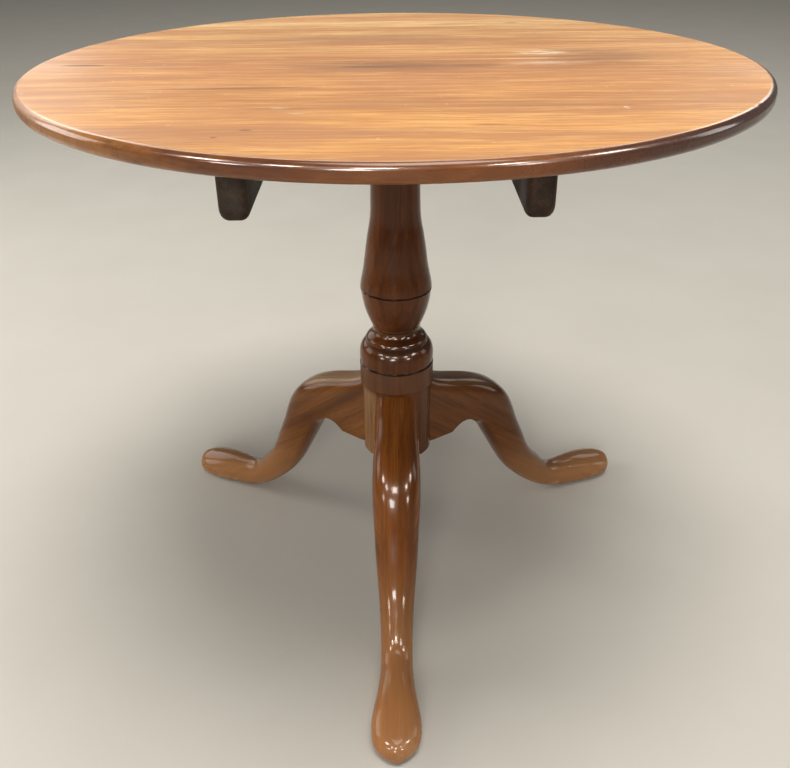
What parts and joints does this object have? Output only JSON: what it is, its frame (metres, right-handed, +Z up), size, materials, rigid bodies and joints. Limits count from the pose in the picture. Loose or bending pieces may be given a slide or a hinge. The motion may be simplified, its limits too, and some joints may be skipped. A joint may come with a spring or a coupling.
{
  "type": "tilt top table",
  "caption": "Round tilt-top pedestal table: a flat round wooden top hinged on a block above a turned column with three cabriole legs on slipper feet",
  "frame": {"origin": "on the floor under the axis of the column and of the round top", "axes": "+Z up; the single front leg points along -Y; X runs left to right along the hinge line and the grain of the top"},
  "size_m": [0.826, 0.826, 0.711],
  "materials": {
    "top_wood": "faded and worn old polish over fine straight grain",
    "cleat_wood": "dark, dull, lightly waxed",
    "base_wood": "dark red-brown, glossy French polish",
    "iron": "dark hand-forged iron",
    "brass": "aged brass, worn bright where it slides"
  },
  "bodies": {
    "base": {"column": "base_wood", "front_leg": "base_wood", "rear_left_leg": "base_wood", "rear_right_leg": "base_wood", "brace_plate": "iron", "brace_screws": "iron", "pivot_block": "cleat_wood", "tenon_wedges": "base_wood", "left_pivot_pin": "iron", "right_pivot_pin": "iron", "keeper_plate": "brass", "keeper_screws": "brass"},
    "top": {"top_board_front": "top_wood", "top_board_middle": "top_wood", "top_board_rear": "top_wood", "left_cleat": "cleat_wood", "right_cleat": "cleat_wood", "left_cleat_screws": "iron", "right_cleat_screws": "iron", "catch_plate": "brass", "catch_screws": "brass"},
    "bolt": {"catch_bolt": "brass", "bolt_knob": "brass"}
  },
  "joints": [
    {"name": "top_tilt", "type": "hinge", "parent": "base", "child": "top", "pos_m": [-0.0095, 0.0875, 0.672], "axis": [-1, 0, 0], "range_deg": [0, 90]},
    {"name": "bolt_slide", "type": "slide", "parent": "top", "child": "bolt", "axis": [0, 1, 0], "range_m": [0, 0.01]}
  ]
}
